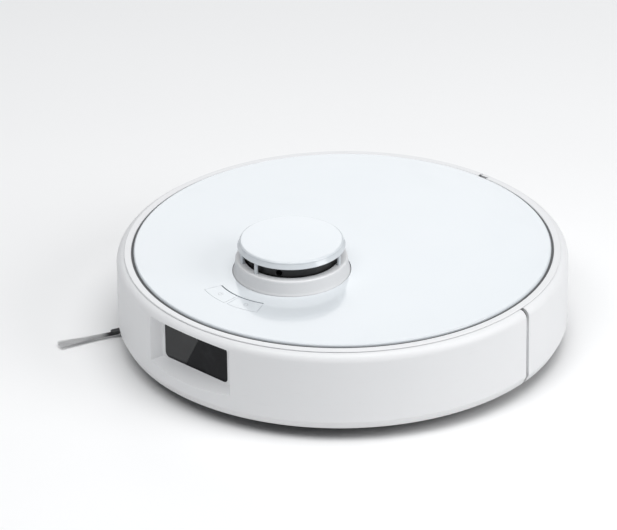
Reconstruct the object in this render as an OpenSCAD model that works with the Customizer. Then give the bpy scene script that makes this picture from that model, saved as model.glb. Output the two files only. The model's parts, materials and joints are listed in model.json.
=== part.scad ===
// Robot vacuum and mop: a round body with a lidar turret, a sprung bumper, a lift-off cover,
// a dust bin, a main brush, a side brush, sprung drive wheels, a caster and two spinning mops.
// Millimetres. The front faces -Y, +Z is up and the floor is at z = 0.

/* [Body] */
// Diameter of the body
body_d = 350; // [346:1:354]
// Height of the body's lower edge over the floor
floor_gap = 10; // [9.6:0.1:10.2]
// Height of the cover's edge over the floor
cover_z = 76; // [76:0.1:76.4]
// Rise of the cover's crown over its edge
crown = 2.2; // [1.6:0.1:2.4]
// Wall thickness of the bumper and the rear shell
wall = 2.4; // [2:0.1:2.6]
// Angle by which the bumper wraps past the body's sides
wrap_angle = 5.5; // [4:0.5:7]
// Travel of the bumper
bumper_travel = 3; // [2:0.5:3]

/* [Turret] */
// Distance of the turret's axis in front of the body's centre
turret_y = 57; // [56:1:58]
// Radius of the turret's base where it meets the cover
turret_r = 45.1; // [44.5:0.1:45.2]
// Height of the top of the turret's base
turret_base_z = 89; // [88:0.5:90]
// Height of the underside of the turret's cap
cap_z = 98; // [97.5:0.5:98.5]
// Radius of the cap at its lower edge
cap_r = 41.5; // [41:0.5:42]

/* [Sensor window] */
// Width of the window
window_w = 65.4; // [60:0.2:66]
// Height of the window
window_h = 30; // [28:0.5:30]
// Height of the window's lower edge over the floor
window_z = 33; // [33:0.5:33.5]

/* [Wheels and brushes] */
// Radius of a drive wheel over its tyre
wheel_r = 32; // [31:0.5:32]
// Width of a drive wheel's tyre
tyre_w = 20; // [18:1:20]
// Radius of the main brush over its fins
brush_r = 20.4; // [19:0.2:20.4]
// Length of the side brush's arms from the pivot to the tip
side_reach = 71; // [66:1:71]
// Radius of a mop pad
pad_r = 60; // [56:1:60]

/* [Hidden] */
$fn = 96;
eps = 0.05;
white = "whitesmoke";
shade = "gainsboro";
dark = "dimgray";
black = "#202225";

body_r = body_d / 2;
shoulder_r = 6.6; // rounding of the wall's upper edge
shoulder_z = cover_z - 2.6 - shoulder_r; // where the straight wall ends
lip_z = shoulder_z + shoulder_r; // top of the lip that runs under the ring
seam_angle = 1.15; // width of the seam between bumper and rear shell
lap_angle = 2.6; // how far the rear shell's laps reach behind the bumper's ends
lap_r = body_r - wall - 1.6; // inner face of the laps
cover_r = 161.8;
groove_r = 163.7; // inner edge of the ring's visible band
seal_z = cover_z - 3; // ledge under the seal
deck_z = 66;
deck_t = 3;
plate_z = floor_gap + 0.5; // underside of the base plate
plate_t = 3;
plate_top = plate_z + plate_t;
head_seat = 1.6; // depth of the screw heads' seats in the base plate

brush_y = -22;
brush_z = 21;
brush_half = 77; // half the length of the fins
housing_half = 80; // half the inside length of the brush housing
wheel_x = 122;
arm_pivot_y = -42;
arm_pivot_z = 33;
arm_x = 90; // inner face of a wheel arm
arm_w = 18;
side_x = -117;
side_y = -104;
side_turn = 244.5; // direction of the side brush's first arm at rest
caster_y = -132;
caster_trail = 8;
caster_r = 12;
mop_x = 64;
mop_y = 82;
mop_lift = 8;
blower_x = 68;
blower_y = 100;
bin_low = [-74, 3, 24];
bin_high = [70, 61.5, 68];
bin_wall = 1.8;
hinge_y = 63.4; // axis of the bin lid's hinge
hinge_z = 69.4;
fit = 0.05; // radial clearance of a running fit

// ---- shared shapes ----

// A box from its lowest to its highest corner
module box(low, high) {
    translate(low) cube(high - low);
}

// A box seen from above with rounded vertical edges
module round_box(low, high, r) {
    translate([low[0] + r, low[1] + r, low[2]])
        linear_extrude(high[2] - low[2])
            for (x = [0, high[0] - low[0] - 2 * r], y = [0, high[1] - low[1] - 2 * r])
                translate([x, y]) circle(r);
    box([low[0] + r, low[1], low[2]], [high[0] - r, high[1], high[2]]);
    box([low[0], low[1] + r, low[2]], [high[0], high[1] - r, high[2]]);
}

// A ring between two radii and two heights
module ring(r_in, r_out, z0, z1) {
    translate([0, 0, z0]) difference() {
        cylinder(r = r_out, h = z1 - z0);
        translate([0, 0, -1]) cylinder(r = r_in, h = z1 - z0 + 2);
    }
}

module x_rod(x0, x1, y, z, r) {
    translate([x0, y, z]) rotate([0, 90, 0]) cylinder(r = r, h = x1 - x0);
}

module both_sides() {
    children();
    mirror([1, 0, 0]) children();
}

function arc(cx, cy, r, a0, a1, n) =
    [for (i = [0:n]) let (a = a0 + (a1 - a0) * i / n) [cx + r * cos(a), cy + r * sin(a)]];

// Section of the outer wall: a tapered foot, a straight side, a round shoulder and a lip
module wall_section() {
    inner = body_r - wall;
    polygon(concat(
        [[body_r - 4.2, floor_gap], [body_r - 3.4, floor_gap + 0.4], [body_r, floor_gap + 7]],
        arc(body_r - shoulder_r, shoulder_z, shoulder_r, 0, 90, 10),
        [[body_r - 7.4, lip_z], [body_r - 7.4, lip_z - wall + 0.2]],
        arc(body_r - shoulder_r, shoulder_z, shoulder_r - wall, 90, 0, 8),
        [[inner, floor_gap + 7.6], [body_r - 6.2, floor_gap]]
    ));
}

// Plan outline of a key, a sector in front of the turret; gap widens it on every side
module key_sector(side, gap) {
    near = 59.4 - gap;
    far = 73 + gap;
    a0 = side > 0 ? 271.2 : 248;
    a1 = side > 0 ? 292 : 268.8;
    grow = gap / 66 * 180 / PI;
    translate([0, -turret_y]) polygon(concat(
        arc(0, 0, near, a0 - grow, a1 + grow, 12),
        arc(0, 0, far, a1 + grow, a0 - grow, 12)
    ));
}

// The cover's shell before any opening: a shallow dome with a rounded rim
module cover_dome() {
    edge = 1.3;
    thick = 2;
    rotate_extrude($fn = 180) polygon(concat(
        [[0, cover_z - thick], [cover_r, cover_z - thick]],
        arc(cover_r - edge, cover_z - edge, edge, 0, 80, 5),
        [for (i = [9:-1:0]) let (r = (cover_r - edge) * i / 10)
            [r, cover_z + crown * (1 - pow(r / cover_r, 2))]]
    ));
}

// ---- chassis ----

module wheel_openings() {
    translate([arm_x - 0.4, -60]) square([arm_w + 0.9, 75]);
    translate([wheel_x - tyre_w / 2 - 0.6, -41]) square([tyre_w + 3.4, 77.5]);
    translate([arm_x + arm_w - 1, -14]) square([6, 22]);
}

// Outline of the base plate with every opening, and screw holes of radius hole_r
module plate_outline(hole_r) {
    difference() {
        union() {
            circle(r = body_r - 10, $fn = 180);
            intersection() {
                circle(r = body_r - 6.5, $fn = 180);
                translate([-body_r, 22]) square([body_d, body_r]);
            }
        }
        both_sides() wheel_openings();
        both_sides() translate([mop_x, mop_y]) circle(r = pad_r + 2);
        translate([-20, mop_y - 19.5]) square([40, 39]);
        translate([-85.4, -50.4]) square([170.8, 57.8]);
        translate([0, caster_y]) circle(r = 21.6);
        translate([side_x, side_y]) circle(r = 6);
        translate([27, -119]) square([68, 56]);
        for (p = cliff_places()) translate(p) square([16.4, 9.4], center = true);
        for (p = screw_places()) translate(p) circle(r = hole_r, $fn = 32);
    }
}

module base_tray() {
    color(dark) difference() {
        union() {
            // the screw heads sit in the plate's lower layer
            translate([0, 0, plate_z]) linear_extrude(head_seat) plate_outline(3.2);
            translate([0, 0, plate_z + head_seat]) linear_extrude(plate_t - head_seat) plate_outline(1.6);
            // skirt inside the bumper and columns that carry the deck
            difference() {
                ring(body_r - 12.6, body_r - 10, plate_top - eps, 22);
                translate([0, body_r + 22, 15]) cube([body_d, body_d, 40], center = true);
                translate([side_x, side_y, plate_top - 1]) cylinder(r = 14, h = 20);
            }
            for (p = column_places(), s = [-1, 1])
                translate([s * p[0], p[1], plate_top - eps]) cylinder(r = 4, h = deck_z - plate_top);
            // lugs that hold the wheel arms' pins
            both_sides() for (x = [arm_x - 4, arm_x + arm_w + 0.6])
                box([x, arm_pivot_y - 6, plate_top - eps], [x + 2.6, arm_pivot_y + 6, 40]);
            // caster well
            translate([0, caster_y, 0]) {
                ring(21.6, 23.4, plate_top - eps, 30);
                ring(4 + fit, 22, 27.8, 30);
                ring(4 + fit, 8, 29, 37);
            }
        }
        both_sides() x_rod(arm_x - 6, arm_x + arm_w + 5, arm_pivot_y, arm_pivot_z, 3 + fit);
    }
}

function cliff_places() = [[-58, -143], [58, -143], [-147, -38], [147, -38]];
function column_places() = [[80, -130], [128, 98], [60, 148], [146, -62]];
function screw_places() = [
    [100, -122], [-72, -126], [30, -150], [-30, -150], [154, 12],
    [-154, 12], [145, 50], [-145, 50], [20, 154], [-20, 154]
];

module rear_shell() {
    a0 = wrap_angle + seam_angle;
    color(white) difference() {
        union() {
            rotate([0, 0, a0]) rotate_extrude(angle = 180 - 2 * a0, $fn = 180) wall_section();
            // laps behind the seams, under the bumper's ends
            for (start = [wrap_angle - lap_angle, 180 - a0 - 1])
                rotate([0, 0, start]) rotate_extrude(angle = lap_angle + seam_angle + 1, $fn = 180)
                    translate([lap_r, floor_gap + 9]) square([1.2, shoulder_z - floor_gap - 12]);
            for (start = [a0 + 0.15, 180 - a0 - 0.85])
                rotate([0, 0, start]) rotate_extrude(angle = 0.7, $fn = 180)
                    translate([lap_r + 0.6, floor_gap + 10]) square([2, shoulder_z - floor_gap - 14]);
        }
        // exhaust slots low on the left rear side
        for (i = [0:8])
            rotate([0, 0, 50 + 2.4 * i]) box([160, -1, 30], [180, 1, 56]);
        // seats of the two charging contacts
        for (x = [-24, 24])
            box([x - 8.2, 165, 19.8], [x + 8.2, 180, 28.2]);
        // dark relief at each lower rear corner
        for (a = [43.5, 136.5])
            rotate([0, 0, a]) box([170.5, -2.6, 11.5], [180, 2.6, 15.5]);
    }
}

module upper_deck() {
    color(shade) difference() {
        union() {
            translate([0, 0, deck_z]) linear_extrude(deck_t) difference() {
                circle(r = cover_r - 0.2, $fn = 180);
                translate([bin_low[0] - 2.5, bin_low[1] - 2.5]) square([149, 69]);
                translate([-60, 112]) circle(r = 10.5);
                translate([0, -turret_y]) circle(r = 12);
                translate([-48, -170]) square([96, 13]);
            }
            // rim round the bin's bay
            difference() {
                box([bin_low[0] - 4.5, bin_low[1] - 4.5, deck_z + deck_t - eps], [74.5, 70, 71.2]);
                box([bin_low[0] - 2.5, bin_low[1] - 2.5, deck_z], [72.5, 68, 75]);
            }
            // stiffening ribs over the free parts of the deck
            for (x = [-126, -104, 92, 114])
                box([x - 1, -40, deck_z + deck_t - eps], [x + 1, 60, 71]);
            for (x = [-40, -20, 0, 20, 40])
                box([x - 1, 84, deck_z + deck_t - eps], [x + 1, 140, 71]);
        }
        for (p = magnet_places()) translate([p[0], p[1], deck_z + 1.5]) cylinder(r = 4.2, h = 8);
    }
}

function magnet_places() = [for (a = [35, 145, 215, 325]) [148 * cos(a), 148 * sin(a)]];

module top_ring() {
    color(white) difference() {
        rotate_extrude($fn = 180) polygon([
            [cover_r - 4.2, deck_z + deck_t + 0.02], [groove_r + 0.7, deck_z + deck_t + 0.02],
            [groove_r + 0.7, lip_z + 0.4], [169.2, lip_z + 0.4], [169.2, lip_z + 0.7],
            [168.7, lip_z + 1.2], [groove_r + 0.4, lip_z + 1.2], [groove_r, lip_z + 0.8],
            [groove_r, seal_z], [cover_r - 4.2, seal_z]
        ]);
        // finger notch at the back
        translate([0, 166, lip_z - 0.2]) cylinder(r = 4.6, h = 5);
    }
}

// Soft seal that the cover's rim closes on
module cover_seal() {
    color(black) ring(cover_r - 3.6, groove_r - 0.1, seal_z, seal_z + 0.8);
}

// ---- turret ----

module turret_base() {
    color(shade) translate([0, -turret_y, 0]) difference() {
        rotate_extrude($fn = 144) polygon(concat(
            [[12, deck_z + deck_t + 0.02], [turret_r, deck_z + deck_t + 0.02],
                [turret_r, cover_z + 1.6]],
            [for (i = [1:6]) let (t = i / 6)
                [turret_r - 2 * pow(t, 0.6), cover_z + 1.6 + t * (turret_base_z - cover_z - 2.8)]],
            arc(turret_r - 3.3, turret_base_z - 1.2, 1.2, 0, 90, 4),
            [[36.6, turret_base_z], [36.6, 73], [31, 73], [31, 76.5], [28.5, 76.5], [28.5, 72], [12, 72]]
        ));
        for (a = post_angles())
            rotate([0, 0, a]) translate([39.2, 0, 80]) cylinder(r = 1.5 + fit, h = 20);
    }
}

function post_angles() = [20, 150, 240, 270];

module lidar_motor() {
    color(dark) translate([-24, -turret_y, 0]) {
        translate([0, 0, 46]) cylinder(r = 9, h = 18);
        ring(1.2, 4, 64 - eps, 65.4);
    }
}

module lidar_rotor() {
    color(black) translate([0, -turret_y, 0]) difference() {
        rotate_extrude($fn = 96) polygon(concat(
            [[20, 73.2], [28.5 - fit, 73.2], [28.5 - fit, 77.2], [35.4, 77.2]],
            arc(34.2, 94.8, 1.2, 0, 90, 4),
            [[14, 96], [14, 90], [20, 90]]
        ));
        // window of the laser and its receiver
        for (a = [-100, -62])
            rotate([0, 0, a]) translate([30, 0, 92.4]) rotate([0, 90, 0]) cylinder(r = 2.6, h = 10);
    }
}

module turret_cap() {
    color(white) translate([0, -turret_y, 0]) {
        rotate_extrude($fn = 144) polygon(concat(
            [[0, cap_z], [cap_r - 0.6, cap_z], [cap_r, cap_z + 0.6], [cap_r - 1.6, cap_z + 4]],
            arc(cap_r - 3.4, cap_z + 3.8, 2, 15, 75, 4),
            [for (i = [9:-1:0]) let (r = 3.76 * i) [r, cap_z + 5.8 + 0.7 * (1 - pow(i / 10, 2))]]
        ));
        for (a = post_angles())
            rotate([0, 0, a]) translate([39.2, 0, 82]) cylinder(r = 1.5, h = cap_z - 82 + 1);
    }
}

// ---- main brush ----

module brush_housing() {
    color(dark) difference() {
        box([-housing_half - 2, brush_y - 24.6, plate_top + 0.5], [housing_half + 2, brush_y + 24.6, 45.6]);
        // round hollow in which the brush turns
        x_rod(-housing_half, housing_half, brush_y, brush_z, 22.6);
        box([-housing_half, brush_y - 22.6, 0], [housing_half, brush_y + 22.6, brush_z]);
        // throat to the dust bin
        box([-31, brush_y + 10, 31], [31, 5, 42.6]);
        x_rod(-housing_half - 5, housing_half + 5, brush_y, brush_z, 6);
    }
}

module brush_guard() {
    color(black) difference() {
        union() {
            round_box([-85, -50, 9], [85, 7, plate_top], 3);
            for (x = [-60, 60]) round_box([x - 9, 7 - 1, 9.6], [x + 9, 7.2, 12], 0.5);
        }
        translate([0, 0, 8]) linear_extrude(10) polygon([
            [-housing_half, -44], [housing_half, -44], [housing_half, 0], [40, 0], [34, 2.6], [-34, 2.6],
            [-40, 0], [-housing_half, 0]
        ]);
        for (x = [-60, 60]) box([x - 6, 2.6, 8], [x + 6, 4.6, 10.2]);
    }
}

module brush_motor() {
    color("silver") {
        x_rod(-78, -34, -66, 30, 12);
        x_rod(-34 - eps, -31, -66, 30, 4);
    }
    color(black) difference() {
        box([-85.8, -80, 15], [-82.4, -10, 42]);
        x_rod(-90, -80, brush_y, brush_z, 4 + fit);
    }
    color("silver") x_rod(-82.4 - eps, -78 + eps, -66, 30, 4);
}

module brush_core() {
    color(dark) {
        x_rod(-brush_half, brush_half, brush_y, brush_z, 9);
        x_rod(-housing_half + 0.4, -brush_half + 0.1, brush_y, brush_z, 11);
        x_rod(brush_half - 0.1, housing_half - 0.4, brush_y, brush_z, 11);
        x_rod(-85.6, -housing_half + 0.5, brush_y, brush_z, 4);
        x_rod(housing_half - 0.5, housing_half + 3, brush_y, brush_z, 4);
    }
}

module fin_star() {
    circle(r = 10.6, $fn = 18);
    for (i = [0:5]) rotate(60 * i) translate([9, -1]) square([brush_r - 9.1, 2]);
}

module brush_fins() {
    color("slategray") translate([0, brush_y, brush_z]) difference() {
        union() for (s = [0, 1]) mirror([s, 0, 0])
            rotate([0, 90, 0]) linear_extrude(brush_half - 0.3, twist = 75, slices = 8) fin_star();
        rotate([0, 90, 0]) translate([0, 0, -brush_half - 1])
            cylinder(r = 9.02, h = 2 * brush_half + 2, $fn = 36);
    }
}

// ---- side brush ----

module side_motor() {
    color(black) {
        translate([side_x, side_y, plate_top + 0.5]) cylinder(r = 9, h = 26);
        box([side_x, side_y + 0, plate_top + 0.5], [side_x + 36, side_y + 18, 30]);
    }
    color("silver") translate([side_x, side_y, 7.8]) cylinder(r = 2, h = 7);
}

module side_arms() {
    for (i = [0:2]) rotate([0, 0, side_turn + 120 * i]) children();
}

module side_hub() {
    color(dark) translate([side_x, side_y, 0]) difference() {
        union() {
            rotate_extrude() polygon([
                [0, 3.4], [10.4, 3.4], [11, 4], [11, 6.2], [5.7, 8.3], [5.7, 9.7], [0, 9.7]
            ]);
            side_arms() translate([0, 0, 3.7]) linear_extrude(2.3) polygon([
                [4, -3.6], [25, -2.3], [26.4, -1.2], [26.4, 1.2], [25, 2.3], [4, 3.6]
            ]);
        }
        translate([0, 0, 7.5]) cylinder(r = 2 + fit, h = 5);
        translate([0, 0, 2]) cylinder(r = 2.6, h = 2.6);
        // slots that hold the tufts
        side_arms() box([19.8, -1.5, 3], [40, 1.5, 5.2]);
    }
}

module side_bristles() {
    color("darkgray") translate([side_x, side_y, 0]) side_arms()
        translate([0, 0, 1.2]) linear_extrude(3.8) polygon([
            [20, -1.4], [28, -1.4], [46, -2.6], [side_reach - 3, -5.6], [side_reach, -4.4],
            [side_reach - 1, 0], [side_reach, 4.4], [side_reach - 3, 5.6], [46, 2.6], [28, 1.4], [20, 1.4]
        ]);
}

// ---- power, control and air ----

module battery() {
    color("royalblue") union() {
        for (i = [0:2]) x_rod(29, 93, -109.5 + 18.6 * i, 24.4, 9.1);
        box([29, -109.5, 17], [93, -72.3, 30]);
    }
}

module battery_door() {
    color(dark) round_box([27.3, -118.7, plate_z - 0.3], [94.7, -63.3, plate_top - 0.6], 2);
}

module main_board() {
    color("darkgreen") box([-66, -136, 52], [70, -108, 53.6]);
    color("darkgreen") box([-66, -108 - eps, 52], [-36, -72, 53.6]);
    color(black) {
        box([-20, -130, 53.5], [4, -112, 55.5]);
        box([20, -128, 53.5], [34, -114, 55.2]);
        box([46, -132, 53.5], [62, -126, 59]);
        box([-58, -98, 53.5], [-44, -84, 55.5]);
    }
}

module key_switches() {
    for (a = [258.4, 281.6])
        color(black) translate([66 * cos(a), -turret_y + 66 * sin(a), 0])
            translate([-3, -3, deck_z + deck_t + 0.02]) cube([6, 6, 1.5]);
}

module blower_housing() {
    color(dark) translate([blower_x, blower_y, 0]) difference() {
        union() {
            translate([0, 0, 46]) cylinder(r = 28, h = 17);
            box([-24, -33, 47.5], [2, -20, 63]);
            rotate([0, 0, 50]) box([18, -11, 46], [36, 11, 63]);
        }
        translate([0, 0, 48]) cylinder(r = 26, h = 20);
        box([-22, -40, 49.5], [0, -19, 61]);
        rotate([0, 0, 50]) box([16, -9, 48], [40, 9, 61]);
    }
}

module blower_lid() {
    color(dark) translate([blower_x, blower_y, 0]) {
        translate([0, 0, 63]) cylinder(r = 28, h = 2);
        translate([0, 0, 59]) cylinder(r = 3, h = 4.5);
    }
}

module impeller() {
    color("silver") translate([blower_x, blower_y, 0]) difference() {
        union() {
            translate([0, 0, 49]) cylinder(r = 22, h = 1.4);
            translate([0, 0, 50]) cylinder(r = 7, h = 11);
            for (i = [0:10]) rotate([0, 0, i * 360 / 11]) translate([13, 0, 50 - eps])
                rotate([0, 0, 35]) translate([-6.5, -0.6, 0]) cube([13, 1.2, 9]);
        }
        translate([0, 0, 57]) cylinder(r = 3 + fit, h = 10);
    }
}

module exhaust_duct() {
    color(dark) translate([blower_x, blower_y, 0]) rotate([0, 0, 50]) difference() {
        box([36.2, -12, 45], [49.4, 12, 64]);
        box([30, -10, 47], [60, 10, 62]);
    }
}

module water_tank() {
    color("lightsteelblue") difference() {
        intersection() {
            translate([0, 0, 46]) cylinder(r = 158, h = 19.4);
            box([-112, 71, 46], [33, 142, 65.4]);
        }
        intersection() {
            translate([0, 0, 48]) cylinder(r = 156, h = 15.4);
            box([-110, 73, 48], [31, 140, 63.4]);
        }
        translate([-60, 112, 60]) cylinder(r = 8, h = 10);
    }
}

module tank_plug() {
    color("slategray") translate([-60, 112, 0]) {
        translate([0, 0, 62]) cylinder(r = 7.9, h = 4);
        translate([0, 0, 66 - eps]) cylinder(r = 9.6, h = 4);
        box([-7, -1.2, 70 - eps], [7, 1.2, 72]);
    }
}

module water_pump() {
    color(black) {
        box([-130, 52, 26], [-104, 72, 42]);
        x_rod(-104 - eps, -88, 62, 34, 7);
    }
}

module charge_contacts() {
    for (x = [-24, 24]) color("gold") intersection() {
        ring(body_r - 2.4, body_r, 20, 28);
        box([x - 8, 160, 20], [x + 8, 180, 28]);
    }
}

module cliff_sensors() {
    for (p = cliff_places()) color(black) translate([p[0], p[1], plate_z - 0.2])
        translate([-8, -4.5, 0]) cube([16, 9, 9]);
}

module sensor_module() {
    color(black) difference() {
        box([-31, -156.6, 34], [31, -146, 61]);
        translate([-14, -150, 47.5]) rotate([90, 0, 0]) cylinder(r = 6, h = 20);
        box([4, -160, 41], [24, -153, 54]);
    }
    color("silver") {
        translate([-14, -149, 47.5]) rotate([90, 0, 0]) cylinder(r = 5.2, h = 6);
        box([7, -154.4, 44], [21, -153 + eps, 51]);
    }
}

module bumper_switches() {
    for (a = [228, 312]) color(black) rotate([0, 0, a]) {
        box([150, -8, 42], [160, 8, 52]);
        box([160 - eps, -1.5, 45], [166.6, 1.5, 49]);
    }
}

module arm_pins() {
    both_sides() color("silver") x_rod(arm_x - 4, arm_x + arm_w + 3.2, arm_pivot_y, arm_pivot_z, 3);
}

module case_screws() {
    for (p = screw_places()) color("silver") translate([p[0], p[1], 0]) difference() {
        union() {
            translate([0, 0, plate_z + 0.3]) cylinder(r = 3, h = 1.3);
            translate([0, 0, plate_z + 1.5]) cylinder(r = 1.5, h = 8);
        }
        for (t = [0, 90])
            rotate([0, 0, t]) translate([-1.7, -0.4, plate_z]) cube([3.4, 0.8, 1.1]);
    }
}

// ---- bumper ----

// Flared pocket round the window: plan outline and side outline, each grown by skin
module window_pocket(skin) {
    half = window_w / 2 + 2.8 + skin;
    intersection() {
        translate([0, 0, 10]) linear_extrude(80) polygon([
            [-half, -163 + skin * 1.04], [half, -163 + skin * 1.04],
            [half + 12 + skin * 0.4, -176], [-half - 12 - skin * 0.4, -176]
        ]);
        rotate([90, 0, 90]) translate([0, 0, -80]) linear_extrude(160) polygon([
            [-163 + skin * 1.04, window_z - 0.8 - skin * 1.2], [-163 + skin * 1.04, 63.8 + skin * 0.8],
            [-166, 65 + skin * 0.65], [-178, 70.2 + skin],
            [-178, window_z - 8.2 - skin * 1.2]
        ]);
    }
}

module window_outline(gap) {
    w = window_w / 2 + gap;
    z0 = window_z - gap;
    z1 = window_z + window_h + gap;
    r = 4 + gap;
    hull() for (x = [-w + r, w - r], z = [z0 + r, z1 - r]) translate([x, z]) circle(r = r, $fn = 32);
}

module bumper_shell() {
    start = 180 - wrap_angle;
    color(white) difference() {
        union() {
            rotate([0, 0, start]) rotate_extrude(angle = 180 + 2 * wrap_angle, $fn = 180) wall_section();
            intersection() {
                window_pocket(2.2);
                cylinder(r = body_r - 1, h = 70);
            }
        }
        window_pocket(0);
        translate([0, -158, 0]) rotate([90, 0, 0]) linear_extrude(8) window_outline(0.12);
    }
}

module front_window() {
    color(black) translate([0, -160.7, 0]) rotate([90, 0, 0]) linear_extrude(2.2) window_outline(0);
}

// ---- cover and keys ----

module top_cover() {
    color(white) difference() {
        union() {
            cover_dome();
            // stiffening ring under the rim and a collar round the turret
            ring(152.6, 155, cover_z - 3.2, cover_z - 1.9);
            translate([0, -turret_y, 0]) ring(turret_r + 0.5, turret_r + 2.5, cover_z - 3.4, cover_z + 0.2);
        }
        translate([0, -turret_y, 60]) cylinder(r = turret_r + 0.5, h = 40, $fn = 144);
        for (s = [-1, 1]) translate([0, 0, 60]) linear_extrude(30) key_sector(s, 0.25);
        // the groove behind the keys is wider
        translate([0, -turret_y, 60]) linear_extrude(30) polygon(concat(
            arc(0, 0, 58.2, 248, 292, 16), arc(0, 0, 59.4, 292, 248, 16)
        ));
    }
}

module cover_magnets() {
    for (p = magnet_places()) color("silver") translate([p[0], p[1], cover_z - 5.2]) cylinder(r = 4, h = 3.2);
}

module key(side) {
    a = side > 0 ? 281.6 : 258.4;
    color(white) {
        intersection() {
            cover_dome();
            translate([0, 0, 60]) linear_extrude(30) key_sector(side, 0);
        }
        translate([66 * cos(a), -turret_y + 66 * sin(a), 71.4]) cylinder(r = 2.4, h = 3);
    }
}

module power_key() {
    key(-1);
}

module home_key() {
    key(1);
}

// ---- dust bin ----

module bin_tub() {
    w = bin_wall;
    color("slategray") difference() {
        union() {
            round_box(bin_low, bin_high, 5);
            for (x = [-58, -46, 42, 54]) {
                box([x - 1.5, bin_high[1] - 1, 62], [x + 1.5, hinge_y, 67.8]);
                x_rod(x - 1.5, x + 1.5, hinge_y, hinge_z, 1.8);
                box([x - 1.5, hinge_y - 1.8, 66], [x + 1.5, hinge_y + 1.8, hinge_z]);
            }
        }
        round_box(bin_low + [w, w, w], bin_high - [w, w, -5], 3.5);
        // inlet in the front wall and filter seat in the rear wall
        box([-31, -5, 31], [31, 6, 42.6]);
        box([21.8, 50, 35.8], [62.2, 70, 60.2]);
        for (x = [-52, 48]) x_rod(x - 8, x + 8, hinge_y, hinge_z, 1 + fit);
    }
}

module bin_filter() {
    color(shade) difference() {
        box([22, 56.4, 36], [62, 61.4, 60]);
        for (i = [0:11]) box([23.6 + 3.1 * i, 56, 37.6], [25.2 + 3.1 * i, 60, 58.4]);
    }
}

module bin_lid() {
    color(dark) {
        difference() {
            round_box([bin_low[0], bin_low[1], bin_high[2] + 0.3], [bin_high[0], bin_high[1] - 0.4, 71.2], 5);
            round_box([-34, 14, 69.6], [30, 44, 80], 4);
        }
        for (x = [-52, 48]) {
            x_rod(x - 4, x + 4, hinge_y, hinge_z, 1.5);
            x_rod(x - 7.4, x + 7.4, hinge_y, hinge_z, 1);
            box([x - 4, bin_high[1] - 1, hinge_z - 0.4], [x + 4, hinge_y, hinge_z + 1.4]);
        }
    }
}

// ---- drive wheels ----

module wheel_arm() {
    color(dark) difference() {
        union() {
            x_rod(arm_x, arm_x + arm_w, arm_pivot_y, arm_pivot_z, 11);
            x_rod(arm_x, arm_x + arm_w, 0, wheel_r, 12);
            box([arm_x, arm_pivot_y, 22], [arm_x + arm_w, 0, 44]);
            x_rod(arm_x - 2, arm_x + arm_w - 2, -22, 50, 9);
            box([arm_x, -31, 40], [arm_x + arm_w - 2, -13, 50]);
        }
        x_rod(arm_x - 3, arm_x + arm_w + 3, arm_pivot_y, arm_pivot_z, 3 + fit);
        x_rod(arm_x - 3, arm_x + arm_w + 3, 0, wheel_r, 4 + fit);
    }
}

module arm_left() {
    wheel_arm();
}

module arm_right() {
    mirror([1, 0, 0]) wheel_arm();
}

module wheel_hub() {
    x0 = wheel_x - tyre_w / 2;
    color(shade) difference() {
        union() {
            x_rod(x0 + 0.4, x0 + tyre_w - 0.4, 0, wheel_r, 24);
            x_rod(arm_x + 3, x0 + 1, 0, wheel_r, 4);
            x_rod(arm_x + arm_w + 0.8, x0 + 1, 0, wheel_r, 8);
        }
        // dished outer face with five pockets
        x_rod(x0 + tyre_w - 3, x0 + tyre_w + 3, 0, wheel_r, 20);
        for (i = [0:4]) translate([0, 0, wheel_r]) rotate([72 * i, 0, 0])
            x_rod(x0 + 6, x0 + tyre_w + 3, 0, 13, 4.6);
    }
}

module tyre() {
    x0 = wheel_x - tyre_w / 2;
    color(black) difference() {
        x_rod(x0, x0 + tyre_w, 0, wheel_r, wheel_r);
        x_rod(x0 - 1, x0 + tyre_w + 1, 0, wheel_r, 24.02);
        for (i = [0:23]) translate([0, 0, wheel_r]) rotate([15 * i + 7.5, 0, 0])
            box([x0 - 1, -1.4, wheel_r - 2.4], [x0 + tyre_w + 1, 1.4, wheel_r + 2]);
    }
}

module wheel_hub_left() {
    wheel_hub();
}

module wheel_hub_right() {
    mirror([1, 0, 0]) wheel_hub();
}

module tyre_left() {
    tyre();
}

module tyre_right() {
    mirror([1, 0, 0]) tyre();
}

// ---- caster ----

module caster_fork() {
    color(black) translate([0, caster_y, 0]) difference() {
        union() {
            translate([0, 0, 9]) cylinder(r = 19.6, h = 18);
            translate([0, 0, 27 - eps]) cylinder(r = 4, h = 9.6);
        }
        box([-9, caster_trail - 14, 0], [9, caster_trail + 12.4, 25.2]);
        x_rod(-14.2, 14.2, caster_trail, caster_r, 1.6);
    }
}

module caster_axle() {
    color("silver") x_rod(-14, 14, caster_y + caster_trail, caster_r, 1.5);
}

module caster_wheel() {
    color(shade) translate([0, caster_y + caster_trail, caster_r]) rotate([0, 90, 0]) difference() {
        rotate_extrude() polygon(concat(
            [[1.5 + fit, -8], [9.5, -8]], arc(10, -5.4, 2, -75, 0, 4), arc(10, 5.4, 2, 0, 75, 4),
            [[9.5, 8], [1.5 + fit, 8]]
        ));
        for (z = [-9, 6]) translate([0, 0, z]) ring(3.4, 7.6, 0, 3);
    }
}

// ---- mops ----

module mop_frame() {
    color(dark) difference() {
        union() {
            both_sides() translate([mop_x, mop_y, 11]) cylinder(r = pad_r, h = 2.3);
            box([-20, mop_y - 18, 11], [20, mop_y + 18, 13.2]);
        }
        both_sides() translate([mop_x, mop_y, 9]) cylinder(r = 6, h = 6);
    }
}

module mop_drives() {
    both_sides() color(black) difference() {
        union() {
            round_box([mop_x - 18, mop_y - 14, 13.34], [mop_x + 18, mop_y + 16, 28], 4);
            translate([mop_x - 8, mop_y + 3, 28 - eps]) cylinder(r = 10, h = 7);
        }
        translate([mop_x, mop_y, 13]) cylinder(r = 5 + fit, h = 10);
    }
}

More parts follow.
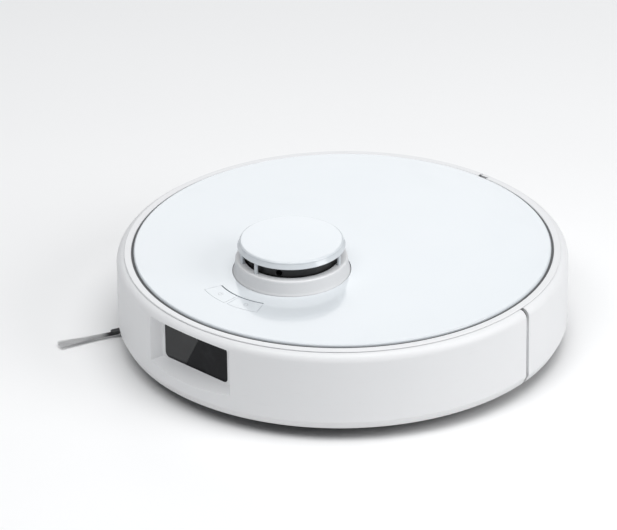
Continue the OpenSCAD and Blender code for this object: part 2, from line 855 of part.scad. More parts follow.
module mop_plate() {
    color(dark) difference() {
        union() {
            translate([mop_x, mop_y, 6.6]) cylinder(r = pad_r - 3, h = 2.8);
            translate([mop_x, mop_y, 9.3]) cylinder(r = 5, h = 13);
        }
        for (i = [0:5]) translate([mop_x, mop_y, 6]) rotate([0, 0, 60 * i]) translate([34, 0, 0])
            cylinder(r = 9, h = 5);
    }
}

module mop_pad() {
    color("lightsteelblue") translate([mop_x, mop_y, 0.3]) rotate_extrude() polygon(concat(
        [[0, 0], [pad_r - 2.6, 0]], arc(pad_r - 2.8, 3.1, 2.8, -80, 80, 6), [[0, 6.2]]
    ));
}

module mop_plate_left() {
    mop_plate();
}

module mop_plate_right() {
    mirror([1, 0, 0]) mop_plate();
}

module mop_pad_left() {
    mop_pad();
}

module mop_pad_right() {
    mirror([1, 0, 0]) mop_pad();
}

base_tray();
rear_shell();
upper_deck();
top_ring();
cover_seal();
turret_base();
lidar_motor();
brush_housing();
brush_guard();
brush_motor();
side_motor();
battery();
battery_door();
main_board();
key_switches();
blower_housing();
blower_lid();
exhaust_duct();
water_tank();
tank_plug();
water_pump();
charge_contacts();
cliff_sensors();
sensor_module();
bumper_switches();
arm_pins();
case_screws();
bumper_shell();
front_window();
top_cover();
cover_magnets();
power_key();
home_key();
bin_tub();
bin_filter();
bin_lid();
lidar_rotor();
turret_cap();
brush_core();
brush_fins();
side_hub();
side_bristles();
arm_left();
arm_right();
wheel_hub_left();
wheel_hub_right();
tyre_left();
tyre_right();
caster_fork();
caster_axle();
caster_wheel();
mop_frame();
mop_drives();
mop_plate_left();
mop_plate_right();
mop_pad_left();
mop_pad_right();
impeller();
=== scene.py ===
import json
import math
import random

import bpy
from mathutils import Matrix, Vector


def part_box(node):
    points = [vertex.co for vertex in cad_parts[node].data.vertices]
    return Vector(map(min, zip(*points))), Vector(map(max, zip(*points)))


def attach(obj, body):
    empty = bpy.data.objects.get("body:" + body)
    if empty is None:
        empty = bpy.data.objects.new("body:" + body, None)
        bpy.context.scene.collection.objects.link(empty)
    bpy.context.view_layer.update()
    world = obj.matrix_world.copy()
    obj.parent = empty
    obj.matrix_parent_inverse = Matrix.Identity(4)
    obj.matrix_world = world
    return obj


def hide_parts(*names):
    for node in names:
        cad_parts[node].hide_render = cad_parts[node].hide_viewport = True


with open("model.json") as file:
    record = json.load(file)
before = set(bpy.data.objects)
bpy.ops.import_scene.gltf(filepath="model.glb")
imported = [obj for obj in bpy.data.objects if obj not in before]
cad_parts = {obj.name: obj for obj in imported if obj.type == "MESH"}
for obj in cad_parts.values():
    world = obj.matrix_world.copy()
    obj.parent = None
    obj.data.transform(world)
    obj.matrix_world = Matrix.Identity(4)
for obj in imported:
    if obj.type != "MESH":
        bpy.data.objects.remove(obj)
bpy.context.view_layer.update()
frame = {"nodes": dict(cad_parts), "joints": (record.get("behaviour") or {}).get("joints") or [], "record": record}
nodes = frame["nodes"]
mm = 0.001
print("frame loaded:", len(nodes), "nodes")


def jointNamed(name):
    return next(joint for joint in frame["joints"] if joint["name"] == name)


class Value:  # a socket's value: maths on it adds Math nodes
    def __init__(self, finish, socket):
        self.finish = finish
        self.socket = socket

    def math(self, operation, first, second):
        return self.finish.add("ShaderNodeMath", {"operation": operation}, {0: first, 1: second})

    def __add__(self, other):
        return self.math("ADD", self, other)

    def __sub__(self, other):
        return self.math("SUBTRACT", self, other)

    def __mul__(self, other):
        return self.math("MULTIPLY", self, other)

    def __gt__(self, other):
        return self.math("GREATER_THAN", self, other)

    def __radd__(self, other):
        return self.math("ADD", other, self)

    def __rsub__(self, other):
        return self.math("SUBTRACT", other, self)


class Finish:  # one material, built round a Principled shader
    def __init__(self, name, **constants):
        self.material = bpy.data.materials.new(name)
        self.material.use_nodes = True
        self.tree = self.material.node_tree
        self.shader = self.tree.nodes["Principled BSDF"]
        for socket, value in constants.items():
            self.shader.inputs[socket.replace("_", " ")].default_value = value
        self.place = self.add("ShaderNodeTexCoord", {}, {}, "Object")

    def add(self, kind, settings, inputs, output=0):
        node = self.tree.nodes.new(kind)
        for key, value in settings.items():
            setattr(node, key, value)
        for key, value in inputs.items():
            self.feed(node.inputs[key], value)
        return Value(self, node.outputs[output])

    def feed(self, socket, value):
        if isinstance(value, Value):
            self.tree.links.new(value.socket, socket)
        else:
            socket.default_value = value

    def noise(self, scale, detail=2.0, roughness=0.5, vector=None):
        inputs = {"Vector": vector or self.place, "Scale": scale, "Detail": detail, "Roughness": roughness}
        return self.add("ShaderNodeTexNoise", {}, inputs)

    def cells(self, scale, feature="F1"):
        inputs = {"Vector": self.place, "Scale": scale}
        return self.add("ShaderNodeTexVoronoi", {"feature": feature}, inputs)

    def stretch(self, scale):
        return self.add("ShaderNodeMapping", {}, {"Vector": self.place, "Scale": scale})

    def axis(self, name):
        return self.add("ShaderNodeSeparateXYZ", {}, {0: self.place}, name)

    def step(self, value, low, high):  # 0 below low, 1 above high, smooth between
        inputs = {"Value": value, "From Min": low, "From Max": high}
        return self.add("ShaderNodeMapRange", {"interpolation_type": "SMOOTHSTEP"}, inputs)

    def blend(self, factor, first, second):
        settings = {"data_type": "RGBA"}
        return self.add("ShaderNodeMix", settings, {0: factor, 6: first, 7: second}, 2)

    def colour(self, value):
        self.feed(self.shader.inputs["Base Color"], value)

    def rough(self, value):
        self.feed(self.shader.inputs["Roughness"], value)

    def bump(self, height, distance):
        inputs = {"Height": height, "Distance": distance}
        self.feed(self.shader.inputs["Normal"], self.add("ShaderNodeBump", {}, inputs))


def rgb(red, green, blue):
    return (red, green, blue, 1.0)


gloss = dict(tone=rgb(0.65, 0.69, 0.72), cloud=rgb(0.69, 0.72, 0.745), dust=rgb(0.63, 0.64, 0.65),
             rough=0.14, smudge=0.08, peel=900, peelDepth=0.006 * mm)


def glossWhite():  # polished moulded cover, with the slight ripple of a moulding and faint handling marks
    f = Finish("glossWhite", IOR=1.5, Coat_Roughness=0.04, Coat_Weight=0.35)
    clouds = f.noise(9, 3)
    marks = f.step(f.noise(26, 6, 0.7), 0.5, 0.75)
    specks = f.step(f.noise(1500, 2), 0.71, 0.78)
    tone = f.blend(clouds, gloss["tone"], gloss["cloud"])
    f.colour(f.blend(specks * 0.35, tone, gloss["dust"]))
    f.rough(gloss["rough"] + marks * gloss["smudge"] + specks * 0.2)
    f.bump(f.noise(gloss["peel"], 1), gloss["peelDepth"])
    return f.material


satin = dict(tone=rgb(0.77, 0.775, 0.785), cloud=rgb(0.8, 0.803, 0.81), rough=0.36, grain=5200,
             grainDepth=0.012 * mm, lowTintFull=11 * mm, lowTintGone=20 * mm)


def satinWhite():  # fine spark-eroded grain on the bumper and the shells
    f = Finish("satinWhite", IOR=1.48)
    clouds = f.noise(14, 3)
    grain = f.noise(satin["grain"], 2, 0.6)
    scuffs = f.step(f.noise(60, 5, 0.65, f.stretch((1, 1, 4))), 0.58, 0.75)
    low = 1 - f.step(f.axis("Z"), satin["lowTintFull"], satin["lowTintGone"])  # a little darker towards the bottom, near the floor
    tone = f.blend(clouds, satin["tone"], satin["cloud"])
    f.colour(f.blend(low * 0.12 + scuffs * 0.05, tone, rgb(0.5, 0.49, 0.47)))
    f.rough(satin["rough"] + grain * 0.12 + scuffs * 0.08)
    f.bump(grain, satin["grainDepth"])
    return f.material


def grainedPlastic(name, tone, cloud, rough, depth=0.03 * mm, scale=2600, dust=0.1):
    f = Finish(name, IOR=1.47)
    grain = f.cells(scale, "SMOOTH_F1")
    clouds = f.noise(22, 4)
    settled = f.step(f.noise(160, 6, 0.7), 0.5, 0.8)
    body = f.blend(clouds, tone, cloud)
    f.colour(f.blend(settled * dust, body, rgb(0.42, 0.41, 0.39)))
    f.rough(rough + grain * 0.1 + settled * 0.12)
    f.bump(grain + f.noise(scale * 2.3, 2) * 0.5, depth)
    return f.material


# where the window's coat layer stands: a painted reflection, brighter on the -X side of a slanted line
windowReflectionPatch = dict(edge=-4 * mm, slope=0.55, soft=0.6 * mm, low=47 * mm, weight=0.45)


def smokedGlass():  # dark window; the coat layer on the -X side, cut on a slant, is a painted reflection: the coat reflects its surroundings as any coat does, but the patch is placed to give the window a brighter part and a darker part
    f = Finish("smokedGlass", IOR=1.2, Coat_IOR=1.6, Coat_Roughness=0.03)
    across = f.axis("X") - (f.axis("Z") - windowReflectionPatch["low"]) * windowReflectionPatch["slope"]
    edge, soft = windowReflectionPatch["edge"], windowReflectionPatch["soft"]
    # painted reflection: coat only on the -X side of the slanted line
    paintedReflection = 1 - f.step(across, edge - soft, edge + soft)
    f.feed(f.shader.inputs["Coat Weight"], paintedReflection * windowReflectionPatch["weight"])
    smear = f.step(f.noise(70, 5, 0.7), 0.45, 0.8)
    specks = f.step(f.noise(2600, 1), 0.74, 0.8)
    glass = f.blend(smear, rgb(0.008, 0.0085, 0.01), rgb(0.016, 0.017, 0.019))
    f.colour(f.blend(specks * 0.4, glass, rgb(0.2, 0.2, 0.2)))
    f.rough(0.04 + smear * 0.07 + specks * 0.3)
    return f.material


def turnedSteel():
    f = Finish("turnedSteel", Metallic=1.0, IOR=2.5)
    lines = f.noise(600, 3, 0.6, f.stretch((0.06, 1, 1)))
    spots = f.step(f.noise(240, 4, 0.6), 0.6, 0.8)
    f.colour(f.blend(lines, rgb(0.5, 0.5, 0.5), rgb(0.68, 0.675, 0.66)))
    f.rough(0.22 + lines * 0.16 + spots * 0.2)
    f.bump(lines, 0.006 * mm)
    return f.material


def zincCan():
    f = Finish("zincCan", Metallic=1.0, IOR=2.5)
    spangle = f.cells(170)
    haze = f.noise(45, 5, 0.6)
    f.colour(f.blend(spangle, rgb(0.42, 0.43, 0.44), rgb(0.6, 0.61, 0.62)))
    f.rough(0.28 + haze * 0.2)
    f.bump(spangle, 0.01 * mm)
    return f.material


def shrinkWrap():
    f = Finish("shrinkWrap", IOR=1.5, Coat_Weight=0.3, Coat_Roughness=0.1)
    folds = f.noise(120, 4, 0.6, f.stretch((0.4, 1, 1)))
    f.colour(f.blend(folds, rgb(0.02, 0.07, 0.3), rgb(0.03, 0.1, 0.38)))
    f.rough(0.22 + folds * 0.15)
    f.bump(folds, 0.12 * mm)
    return f.material


board = dict(top=53.62 * mm, trackPitch=340)


def circuitBoard():  # solder mask with tracks and plated holes below the chips, which stand above the board
    f = Finish("circuitBoard", IOR=1.5)
    across = f.add("ShaderNodeTexBrick", {"offset": 0.37, "squash": 1.6}, {
        "Vector": f.place, "Scale": board["trackPitch"], "Mortar Size": 0.04, "Color1": rgb(0, 0, 0),
        "Color2": rgb(0, 0, 0), "Mortar": rgb(1, 1, 1)})
    holes = 1 - f.step(f.cells(260), 0.12, 0.2)
    chip = f.axis("Z") > board["top"]
    mask = f.blend(across * 0.35, rgb(0.012, 0.09, 0.04), rgb(0.05, 0.22, 0.09))
    mask = f.blend(holes * 0.7, mask, rgb(0.6, 0.5, 0.28))
    f.colour(f.blend(chip, mask, f.blend(f.noise(300, 3), rgb(0.012, 0.012, 0.013), rgb(0.03, 0.03, 0.031))))
    f.rough(0.32 + chip * 0.2 + f.noise(900, 2) * 0.1)
    f.bump(across + holes * 0.5, 0.03 * mm)
    return f.material


def platedContact():
    f = Finish("platedContact", Metallic=1.0, IOR=2.4)
    rub = f.noise(500, 3, 0.6, f.stretch((0.1, 1, 1)))
    f.colour(f.blend(rub, rgb(0.6, 0.56, 0.46), rgb(0.74, 0.71, 0.62)))
    f.rough(0.2 + rub * 0.18)
    f.bump(rub, 0.005 * mm)
    return f.material


def softRubber(name, tone, cloud, rough=0.6):
    f = Finish(name, IOR=1.5)
    bloom = f.noise(60, 5, 0.65)
    grain = f.noise(3000, 3, 0.6)
    lint = f.step(f.noise(700, 3, 0.7), 0.66, 0.74)
    f.colour(f.blend(lint * 0.25, f.blend(bloom, tone, cloud), rgb(0.4, 0.39, 0.37)))
    f.rough(rough + bloom * 0.16)
    f.bump(grain, 0.02 * mm)
    return f.material


def smokedPlastic():
    f = Finish("smokedPlastic", IOR=1.56, Coat_Weight=0.2, Coat_Roughness=0.05)
    dust = f.step(f.noise(90, 6, 0.7), 0.5, 0.8)
    f.colour(f.blend(dust * 0.25, rgb(0.05, 0.055, 0.062), rgb(0.3, 0.29, 0.27)))
    f.rough(0.14 + dust * 0.3)
    f.bump(f.noise(1400, 1), 0.004 * mm)
    return f.material


def tankPlastic():
    f = Finish("tankPlastic", IOR=1.5)
    haze = f.noise(30, 4)
    f.colour(f.blend(haze, rgb(0.42, 0.5, 0.58), rgb(0.5, 0.57, 0.64)))
    f.rough(0.3 + haze * 0.15)
    f.bump(f.noise(1800, 2), 0.006 * mm)
    return f.material


def filterPaper():
    f = Finish("filterPaper", IOR=1.4)
    fibres = f.noise(900, 6, 0.75)
    f.colour(f.blend(fibres, rgb(0.72, 0.72, 0.7), rgb(0.84, 0.84, 0.82)))
    f.rough(0.85 + fibres * 0.1)
    f.bump(fibres, 0.06 * mm)
    return f.material


nylon = dict(darkTo=27 * mm, paleFrom=36 * mm, midHeight=3 * mm)


def bristleNylon():  # dark near the hub, pale towards the tips
    f = Finish("bristleNylon", IOR=1.53)
    x, y, z = jointNamed("side_brush_spin")["pos_m"]
    hubMiddle = (x, y, nylon["midHeight"])
    reach = f.add("ShaderNodeVectorMath", {"operation": "DISTANCE"}, {0: f.place, 1: hubMiddle}, "Value")
    pale = f.step(reach, nylon["darkTo"], nylon["paleFrom"])
    strands = f.noise(900, 3, 0.6)
    hair = f.blend(strands, rgb(0.5, 0.5, 0.505), rgb(0.72, 0.72, 0.72))
    f.colour(f.blend(pale, rgb(0.035, 0.035, 0.037), hair))
    f.rough(0.38 + strands * 0.2)
    return f.material


def mopCloth():  # looped microfibre in two tones, matted here and there
    f = Finish("mopCloth", IOR=1.45, Sheen_Weight=0.35, Sheen_Roughness=0.5)
    loops = f.cells(620, "SMOOTH_F1")
    matting = f.noise(55, 4, 0.6)
    threads = f.noise(2400, 3, 0.7)
    yarn = f.blend(matting, rgb(0.33, 0.38, 0.47), rgb(0.46, 0.51, 0.59))
    f.colour(f.blend(loops * 0.8, yarn, rgb(0.2, 0.24, 0.31)))
    f.rough(0.88 + threads * 0.1)
    f.bump(loops * -0.6 + threads * 0.5, 0.3 * mm)
    return f.material


finishes = {
    "white_gloss": glossWhite(),
    "white_satin": satinWhite(),
    "grey_plastic": grainedPlastic("greyPlastic", rgb(0.36, 0.37, 0.385), rgb(0.4, 0.41, 0.42), 0.45),
    "dark_plastic": grainedPlastic("darkPlastic", rgb(0.024, 0.025, 0.027), rgb(0.034, 0.035, 0.037), 0.48),
    "black_plastic": grainedPlastic("blackPlastic", rgb(0.008, 0.008, 0.009), rgb(0.014, 0.014, 0.015), 0.34,
                                    0.012 * mm, 3400, 0.06),
    "window_glass": smokedGlass(),
    "steel": turnedSteel(),
    "motor_can": zincCan(),
    "battery_wrap": shrinkWrap(),
    "circuit_board": circuitBoard(),
    "contact_plate": platedContact(),
    "fin_rubber": softRubber("finRubber", rgb(0.07, 0.085, 0.105), rgb(0.1, 0.118, 0.14)),
    "tyre_rubber": softRubber("tyreRubber", rgb(0.012, 0.012, 0.013), rgb(0.022, 0.022, 0.023), 0.68),
    "bin_plastic": smokedPlastic(),
    "tank_plastic": tankPlastic(),
    "filter_paper": filterPaper(),
    "seal_rubber": softRubber("sealFoam", rgb(0.1, 0.102, 0.106), rgb(0.13, 0.132, 0.136), 0.8),
    "bristle": bristleNylon(),
    "mop_cloth": mopCloth(),
}
for entry in frame["record"]["subparts"]:
    slots = nodes[entry["node"]].data.materials
    slots.clear()
    slots.append(finishes[entry["material_slot"]])
print("finishes given to the CAD nodes")


def startPiece():  # nothing selected, as after a click on empty space
    if bpy.context.mode != "OBJECT":
        bpy.ops.object.mode_set(mode="OBJECT")
    bpy.ops.object.select_all(action="DESELECT")


def choose(*objects):
    startPiece()
    for o in objects:
        o.select_set(True)
    bpy.context.view_layer.objects.active = objects[0]


def newest(name):
    o = bpy.context.active_object
    o.name = name
    o.data.name = name
    return o


def settle(o):  # the place, turn and size go into the mesh
    choose(o)
    bpy.ops.object.transform_apply(location=True, rotation=True, scale=True)
    return o


def pickFaces(o, test):  # selects the faces whose centre and normal pass the test
    choose(o)
    bpy.ops.object.mode_set(mode="EDIT")
    bpy.ops.mesh.select_mode(type="FACE")
    bpy.ops.mesh.select_all(action="DESELECT")
    bpy.ops.object.mode_set(mode="OBJECT")
    for face in o.data.polygons:
        face.select = test(face.center, face.normal)
    bpy.ops.object.mode_set(mode="EDIT")


def finishEdit(o, merge=0.01 * mm):  # doubles merged, then normals turned outwards
    choose(o)
    bpy.ops.object.mode_set(mode="EDIT")
    bpy.ops.mesh.select_all(action="SELECT")
    bpy.ops.mesh.remove_doubles(threshold=merge)
    bpy.ops.mesh.normals_make_consistent(inside=False)
    bpy.ops.object.mode_set(mode="OBJECT")
    return o


def useModifier(o, kind, **settings):
    choose(o)
    modifier = o.modifiers.new(kind.title(), kind)
    for key, value in settings.items():
        setattr(modifier, key, value)
    bpy.ops.object.modifier_apply(modifier=modifier.name)


def twin(o, name):  # a copy with a mesh of its own
    copy = o.copy()
    copy.data = o.data.copy()
    copy.name = name
    bpy.context.scene.collection.objects.link(copy)
    return copy


def turnedTwin(o, name, angle, axis, centre):
    copy = twin(o, name)
    centre = Vector(centre)
    turn = Matrix.Translation(centre) @ Matrix.Rotation(angle, 4, axis) @ Matrix.Translation(-centre)
    copy.data.transform(turn)
    return copy


def joinAll(objects, name):
    choose(*objects)
    bpy.ops.object.join()
    return newest(name)


def smooth(o, angle):
    choose(o)
    bpy.ops.object.shade_smooth_by_angle(angle=math.radians(angle))


def dress(o, slot, body, *replaced):
    o.data.materials.clear()
    o.data.materials.append(finishes[slot])
    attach(o, body)
    if replaced:
        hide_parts(*replaced)


hairMerge = 0.001 * mm  # doubles nearer than this are merged in fine pieces

sideTuft = dict(arms=3, strands=105, thick=0.17 * mm, rootReach=20.5 * mm, tipReach=70.6 * mm,
                rootSpread=1.25 * mm, tipSpread=5.3 * mm, rootLow=2.2 * mm, rootHigh=4.6 * mm,
                tipLow=1.4 * mm, tipHigh=3.6 * mm, ragged=1.6 * mm, rounded=1.2 * mm,
                scatter=0.3 * mm, splay=2.4 * mm, tipDroop=0.2 * mm, tipThin=0.75, firstArm=244.5, seed=11)


def makeSideTufts():
    pivot = Vector(jointNamed("side_brush_spin")["pos_m"])
    pivot.z = 0
    draw = random.Random(sideTuft["seed"])
    startPiece()
    curve = bpy.data.curves.new("sideTuft", "CURVE")
    curve.dimensions = "3D"
    curve.bevel_depth = sideTuft["thick"] / 2
    curve.bevel_resolution = 0
    curve.resolution_u = 3
    curve.use_fill_caps = True
    for i in range(sideTuft["strands"]):
        side = draw.uniform(-1, 1)
        lift = draw.uniform(0, 1)
        root = Vector((sideTuft["rootReach"], side * sideTuft["rootSpread"],
                       sideTuft["rootLow"] + lift * (sideTuft["rootHigh"] - sideTuft["rootLow"])))
        reach = sideTuft["tipReach"] - draw.uniform(0, sideTuft["ragged"]) - abs(side) * sideTuft["rounded"]
        tip = Vector((reach, side * sideTuft["tipSpread"] + draw.uniform(-1, 1) * sideTuft["scatter"],
                      sideTuft["tipLow"] + lift * (sideTuft["tipHigh"] - sideTuft["tipLow"])))
        spline = curve.splines.new("BEZIER")
        spline.bezier_points.add(1)
        start, end = spline.bezier_points
        length = (tip - root).length
        start.co, end.co = root, tip
        start.handle_right = root + Vector((length * 0.45, 0, 0))
        start.handle_left = root - Vector((length * 0.1, 0, 0))
        end.handle_left = tip + Vector((-length * 0.4, -side * sideTuft["splay"], sideTuft["tipDroop"]))
        end.handle_right = tip + Vector((length * 0.1, 0, 0))
        end.radius = sideTuft["tipThin"]
    tuftObject = bpy.data.objects.new("sideTuft", curve)
    bpy.context.scene.collection.objects.link(tuftObject)
    choose(tuftObject)
    bpy.ops.object.convert(target="MESH")
    first = bpy.context.active_object
    turn = Matrix.Rotation(math.radians(sideTuft["firstArm"]), 4, "Z")
    first.data.transform(Matrix.Translation(pivot) @ turn)
    arms = [first] + [turnedTwin(first, "sideTuft", i * math.tau / sideTuft["arms"], "Z", pivot)
                      for i in range(1, sideTuft["arms"])]
    piece = joinAll(arms, "sideTufts")
    finishEdit(piece, hairMerge)
    smooth(piece, 60)
    dress(piece, "bristle", "side_brush", "side_bristles")


brushFin = dict(count=6, root=8.9 * mm, tip=20.3 * mm, thick=1.9 * mm, tipThick=1.1 * mm, twist=75, steps=36,
                endGap=0.1 * mm, sleeve=10.5 * mm, sleeveWall=1.4 * mm, hem=0.3 * mm)


def makeBrushFins():
    joint = jointNamed("main_brush_spin")
    axisPoint = Vector((0, joint["pos_m"][1], joint["pos_m"][2]))
    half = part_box("brush_fins")[1].x - brushFin["endGap"]
    startPiece()
    bpy.ops.mesh.primitive_plane_add(size=1, location=(0, 0, 0), rotation=(0, math.radians(90), 0))
    fin = settle(newest("brushFin"))
    for v in fin.data.vertices:  # the plane becomes the fin's section, thinner at its tip
        reach, width = brushFin["root"], brushFin["thick"]
        if v.co.y > 0:
            reach, width = brushFin["tip"], brushFin["tipThick"]
        v.co = axisPoint + Vector((0, reach, math.copysign(width / 2, v.co.z)))
    choose(fin)
    bpy.ops.object.mode_set(mode="EDIT")
    bpy.ops.mesh.select_all(action="SELECT")
    for step in range(brushFin["steps"]):  # drawn out along the axis, a little turn at a time
        bpy.ops.mesh.extrude_region_move(TRANSFORM_OT_translate={"value": (half / brushFin["steps"], 0, 0)})
        bpy.ops.transform.rotate(value=math.radians(brushFin["twist"]) / brushFin["steps"], orient_axis="X",
                                 center_override=axisPoint)
    bpy.ops.object.mode_set(mode="OBJECT")
    finishEdit(fin)
    useModifier(fin, "BEVEL", width=brushFin["hem"], segments=2, limit_method="ANGLE",
                angle_limit=math.radians(50))
    fins = [fin] + [turnedTwin(fin, "brushFin", i * math.tau / brushFin["count"], "X", axisPoint)
                    for i in range(1, brushFin["count"])]
    startPiece()
    bpy.ops.mesh.primitive_cylinder_add(vertices=64, radius=brushFin["sleeve"], depth=half,
                                        location=axisPoint + Vector((half / 2, 0, 0)),
                                        rotation=(0, math.radians(90), 0))
    sleeve = settle(newest("brushSleeve"))
    pickFaces(sleeve, lambda place, normal: abs(normal.x) > 0.9)
    bpy.ops.mesh.inset(thickness=brushFin["sleeveWall"])
    bpy.ops.mesh.delete(type="FACE")
    bpy.ops.object.mode_set(mode="OBJECT")
    oneSide = joinAll([sleeve] + fins, "brushHalf")
    otherSide = twin(oneSide, "brushOtherHalf")
    otherSide.data.transform(Matrix.Scale(-1, 4, (1, 0, 0)))
    finishEdit(otherSide, hairMerge)
    piece = joinAll([oneSide, otherSide], "brushFins")
    smooth(piece, 40)
    dress(piece, "fin_rubber", "main_brush", "brush_fins")


mopPad = dict(voxel=1.1 * mm, loop=1.5 * mm, loopHeight=0.7 * mm, loopBias=0.35, hemWidth=4 * mm,
              inside=0.5 * mm, thinner=0.9 * mm, raised=0.2 * mm, stitchDeep=0.8 * mm, stitchWide=1.2 * mm,
              pileStands=0.7 * mm, pileFrom=4.8 * mm, crownRings=3, crownRise=0.075 * mm, edge=1.6 * mm)


def makeMopPads():
    low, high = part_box("mop_pad_left")
    centre = (low + high) / 2
    radius = (high.x - low.x) / 2 - mopPad["inside"]
    startPiece()
    bpy.ops.mesh.primitive_cylinder_add(vertices=128, radius=radius, depth=high.z - low.z - mopPad["thinner"],
                                        location=(centre.x, centre.y, centre.z + mopPad["raised"]))
    pad = settle(newest("mopPadLeft"))
    pickFaces(pad, lambda place, normal: normal.z < -0.9)
    bpy.ops.mesh.inset(thickness=mopPad["hemWidth"])
    bpy.ops.transform.translate(value=(0, 0, mopPad["stitchDeep"]))  # a stitched channel inside the hem
    bpy.ops.mesh.inset(thickness=mopPad["stitchWide"])
    bpy.ops.transform.translate(value=(0, 0, -mopPad["pileStands"]))
    for ring in range(mopPad["crownRings"]):
        bpy.ops.mesh.inset(thickness=radius * 0.2)
        bpy.ops.transform.translate(value=(0, 0, -mopPad["crownRise"]))
    bpy.ops.object.mode_set(mode="OBJECT")
    useModifier(pad, "BEVEL", width=mopPad["edge"], segments=3, limit_method="ANGLE",
                angle_limit=math.radians(60))
    useModifier(pad, "REMESH", mode="VOXEL", voxel_size=mopPad["voxel"])
    loops = bpy.data.textures.new("mopLoops", "VORONOI")
    loops.noise_scale = mopPad["loop"]
    loops.distance_metric = "DISTANCE"
    group = pad.vertex_groups.new(name="pile")
    pile = [v.index for v in pad.data.vertices
            if v.co.z < centre.z and (v.co.xy - centre.xy).length < radius - mopPad["pileFrom"]]
    group.add(pile, 1.0, "REPLACE")
    useModifier(pad, "DISPLACE", texture=loops, texture_coords="GLOBAL", strength=-mopPad["loopHeight"],
                mid_level=mopPad["loopBias"], vertex_group="pile")
    choose(pad)
    bpy.ops.object.shade_smooth()
    other = twin(pad, "mopPadRight")
    other.data.transform(Matrix.Scale(-1, 4, (1, 0, 0)))
    finishEdit(other, hairMerge / 10)
    for piece, body, node in ((pad, "left_mop", "mop_pad_left"), (other, "right_mop", "mop_pad_right")):
        dress(piece, "mop_cloth", body, node)


keySign = dict(reach=66 * mm, powerAngle=258.4, homeAngle=281.6, size=1.9 * mm, line=0.32 * mm,
               proud=0.05 * mm, coverEdge=76 * mm, crown=2.2 * mm, roundTip=20, arcFrom=38, arcSweep=284)


def printedSign(name, strokes, place, turn):  # flat strokes printed on a key
    startPiece()
    curve = bpy.data.curves.new(name, "CURVE")
    curve.dimensions = "3D"
    curve.bevel_depth = keySign["line"] / 2
    curve.bevel_resolution = 1
    curve.use_fill_caps = True
    for points in strokes:
        spline = curve.splines.new("POLY")
        spline.points.add(len(points) - 1)
        for point, (x, y) in zip(spline.points, points):
            point.co = (x * keySign["size"], y * keySign["size"], 0, 1)
    o = bpy.data.objects.new(name, curve)
    bpy.context.scene.collection.objects.link(o)
    choose(o)
    bpy.ops.object.convert(target="MESH")
    o = newest(name)
    flat = Matrix.Scale(2 * keySign["proud"] / keySign["line"], 4, (0, 0, 1))
    o.data.transform(Matrix.Translation(place) @ turn @ flat)
    return finishEdit(o, hairMerge)


def makeKeySigns():
    turret = Vector(jointNamed("turret_spin")["pos_m"])
    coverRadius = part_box("top_cover")[1].x
    steps = keySign["roundTip"]
    turns = [math.radians(keySign["arcFrom"] + keySign["arcSweep"] * i / steps) for i in range(steps + 1)]
    power = [[(math.sin(a), math.cos(a)) for a in turns], [(0, 1.15), (0, 0.2)]]
    home = [[(-1, 0.05), (0, 1), (1, 0.05)], [(-0.68, 0.2), (-0.68, -0.9), (0.68, -0.9), (0.68, 0.2)]]
    for name, body, strokes, angle in (("powerSign", "power_button", power, keySign["powerAngle"]),
                                       ("homeSign", "home_button", home, keySign["homeAngle"])):
        a = math.radians(angle)
        spot = turret + keySign["reach"] * Vector((math.cos(a), math.sin(a), 0))
        spot.z = 0
        far = spot.length / coverRadius  # the cover's dome falls with the square of this
        slope = 2 * keySign["crown"] * far / coverRadius
        tilt = Matrix.Rotation(slope, 4, Vector((-spot.y, spot.x, 0)).normalized())
        spot.z = keySign["coverEdge"] + keySign["crown"] * (1 - far * far)
        dress(printedSign(name, strokes, spot, tilt), "grey_plastic", body)


makeSideTufts()
makeBrushFins()
makeMopPads()
makeKeySigns()
print("soft and small pieces made")


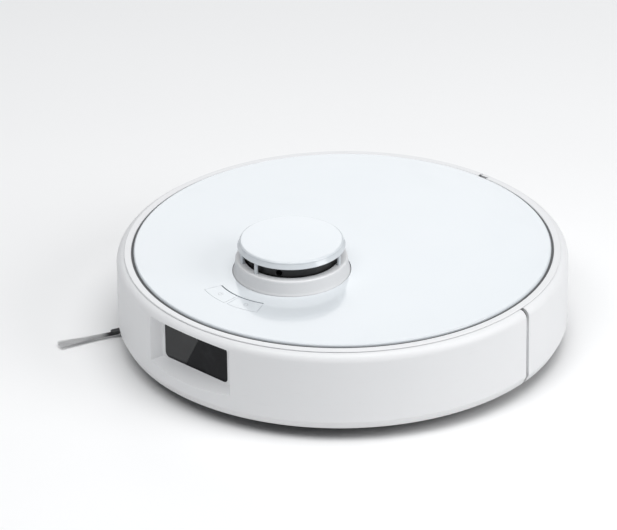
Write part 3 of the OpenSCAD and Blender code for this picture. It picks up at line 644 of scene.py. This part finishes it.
stage = dict(azimuth=43.5, elevation=27.5, roll=0.75, distance=3.8, lens=285, aimX=-0.025, aimY=-0.012,
             aimZ=0.055, floor=6, floorTone=rgb(0.93, 0.93, 0.93), sky=rgb(0.93, 0.96, 1.0), skyLevel=0.25)
softboxes = dict(  # azimuth, elevation, distance, size, power
    topSoftbox=(80, 76, 2.6, 2.0, 35),
    sideSoftbox=(110, 30, 2.6, 1.6, 24),
    backSoftbox=(225, 29, 2.8, 1.0, 4.2),
    frontSoftbox=(352, 60, 2.6, 1.2, 15))


def direction(azimuth, elevation):
    a, e = math.radians(azimuth), math.radians(elevation)
    return Vector((math.sin(a) * math.cos(e), -math.cos(a) * math.cos(e), math.sin(e)))


def makeCamera():
    data = bpy.data.cameras.new("camera")
    camera = bpy.data.objects.new("camera", data)
    bpy.context.scene.collection.objects.link(camera)
    data.lens = stage["lens"]
    data.clip_start = 0.1
    back = direction(stage["azimuth"], stage["elevation"])
    aim = Vector((stage["aimX"], stage["aimY"], stage["aimZ"]))
    camera.location = aim + back * stage["distance"]
    turn = (-back).to_track_quat("-Z", "Y").to_matrix()
    roll = math.radians(stage["roll"])
    camera.rotation_euler = (turn @ Matrix.Rotation(-roll, 3, "Z")).to_euler()
    bpy.context.scene.camera = camera


def makeLamp(name, azimuth, elevation, distance, size, power):
    data = bpy.data.lights.new(name, "AREA")
    data.shape = "DISK"
    data.size = size
    data.energy = power
    lamp = bpy.data.objects.new(name, data)
    bpy.context.scene.collection.objects.link(lamp)
    back = direction(azimuth, elevation)
    lamp.location = back * distance
    lamp.rotation_euler = (-back).to_track_quat("-Z", "Y").to_euler()


def makeStage():
    bpy.ops.mesh.primitive_plane_add(size=stage["floor"], location=(0, 0, 0))
    floor = bpy.context.active_object
    floor.name = "floor"
    f = Finish("studioFloor", IOR=1.4)
    clouds = f.noise(3, 3)
    f.colour(f.blend(clouds, stage["floorTone"], rgb(0.95, 0.95, 0.95)))
    f.rough(0.6 + clouds * 0.1)
    floor.data.materials.append(f.material)
    world = bpy.data.worlds.new("studio")
    world.use_nodes = True
    world.node_tree.nodes["Background"].inputs[0].default_value = stage["sky"]
    world.node_tree.nodes["Background"].inputs[1].default_value = stage["skyLevel"]
    bpy.context.scene.world = world
    for name, settings in softboxes.items():
        makeLamp(name, *settings)
    bpy.context.scene.view_settings.view_transform = "Standard"


makeCamera()
makeStage()
print("stage and camera ready")
